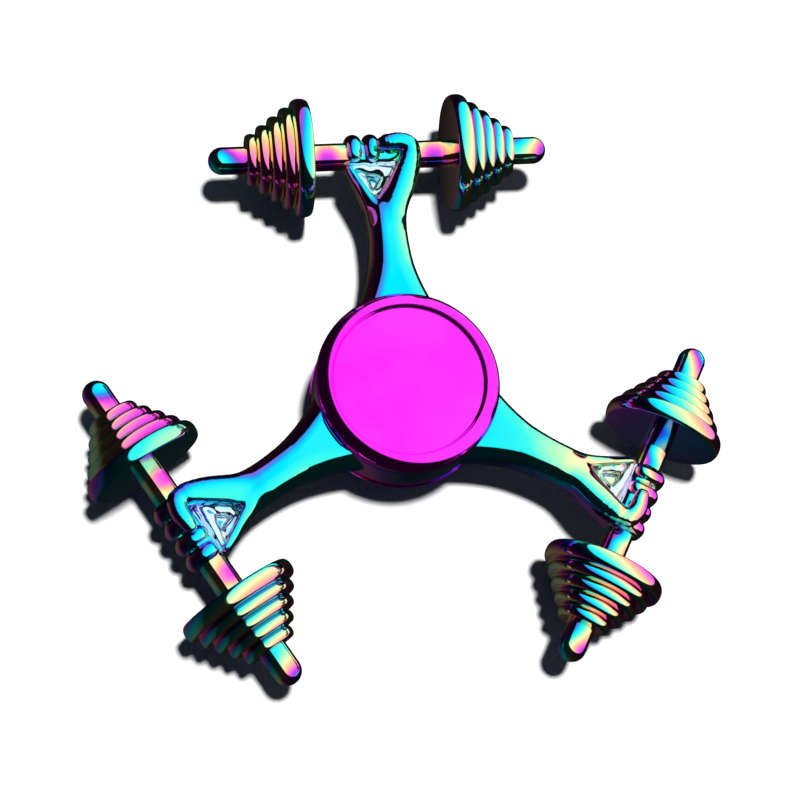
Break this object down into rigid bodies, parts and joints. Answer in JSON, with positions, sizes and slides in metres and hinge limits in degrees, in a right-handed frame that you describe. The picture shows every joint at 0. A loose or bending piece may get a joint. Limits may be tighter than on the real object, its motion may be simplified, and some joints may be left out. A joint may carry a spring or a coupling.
{
  "type": "fidget spinner",
  "caption": "Metal fidget spinner whose forearm-shaped arms end in fists gripping barbells with stepped plates, turning on a ball bearing between two dished finger caps.",
  "frame": {"origin": "centre of the bearing, on the spin axis, midway between the two finger caps", "axes": "+Z along the spin axis towards the side with the thumbs, +Y along the first arm, +X to the right seen from +Z"},
  "size_m": [0.0758, 0.0716, 0.0146],
  "materials": {
    "frame_finish": "iridescent mirror coating on cast metal",
    "bar_finish": "iridescent mirror coating",
    "weight_finish": "iridescent mirror coating on cast metal",
    "cap_finish": "magenta mirror coating",
    "bearing_steel": "ground steel",
    "ball_steel": "polished steel",
    "cage_steel": "pressed sheet steel",
    "shield_steel": "pressed sheet steel"
  },
  "bodies": {
    "grip": {"cap_upper": "cap_finish", "cap_lower": "cap_finish", "inner_ring": "bearing_steel"},
    "rotor": {"spinner_frame": "frame_finish", "bar_1": "bar_finish", "bar_2": "bar_finish", "bar_3": "bar_finish", "weight_1_left": "weight_finish", "weight_1_right": "weight_finish", "weight_2_left": "weight_finish", "weight_2_right": "weight_finish", "weight_3_left": "weight_finish", "weight_3_right": "weight_finish", "outer_ring": "bearing_steel", "shield_upper": "shield_steel", "shield_lower": "shield_steel"},
    "cage": {"cage_upper": "cage_steel", "cage_lower": "cage_steel"},
    "ball_1": {"ball_1": "ball_steel"},
    "ball_2": {"ball_2": "ball_steel"},
    "ball_3": {"ball_3": "ball_steel"},
    "ball_4": {"ball_4": "ball_steel"},
    "ball_5": {"ball_5": "ball_steel"},
    "ball_6": {"ball_6": "ball_steel"}
  },
  "joints": [
    {"name": "spin", "type": "hinge", "parent": "grip", "child": "rotor", "pos_m": [0, 0, 0], "axis": [0, 0, 1], "continuous": true},
    {"name": "cage_orbit", "type": "hinge", "parent": "grip", "child": "cage", "pos_m": [0, 0, 0], "axis": [0, 0, 1], "continuous": true},
    {"name": "ball_1_roll", "type": "hinge", "parent": "cage", "child": "ball_1", "pos_m": [0.00498, 0.00287, 0], "axis": [0, 0, 1], "continuous": true},
    {"name": "ball_2_roll", "type": "hinge", "parent": "cage", "child": "ball_2", "pos_m": [0, 0.00575, 0], "axis": [0, 0, 1], "continuous": true},
    {"name": "ball_3_roll", "type": "hinge", "parent": "cage", "child": "ball_3", "pos_m": [-0.00498, 0.00287, 0], "axis": [0, 0, 1], "continuous": true},
    {"name": "ball_4_roll", "type": "hinge", "parent": "cage", "child": "ball_4", "pos_m": [-0.00498, -0.00287, 0], "axis": [0, 0, 1], "continuous": true},
    {"name": "ball_5_roll", "type": "hinge", "parent": "cage", "child": "ball_5", "pos_m": [0, -0.00575, 0], "axis": [0, 0, 1], "continuous": true},
    {"name": "ball_6_roll", "type": "hinge", "parent": "cage", "child": "ball_6", "pos_m": [0.00498, -0.00287, 0], "axis": [0, 0, 1], "continuous": true}
  ],
  "couplings": [
    {"joint": "cage_orbit", "follows": "spin", "ratio": 0.65217},
    {"joint": "ball_1_roll", "follows": "spin", "ratio": 1.4907},
    {"joint": "ball_2_roll", "follows": "spin", "ratio": 1.4907},
    {"joint": "ball_3_roll", "follows": "spin", "ratio": 1.4907},
    {"joint": "ball_4_roll", "follows": "spin", "ratio": 1.4907},
    {"joint": "ball_5_roll", "follows": "spin", "ratio": 1.4907},
    {"joint": "ball_6_roll", "follows": "spin", "ratio": 1.4907}
  ]
}
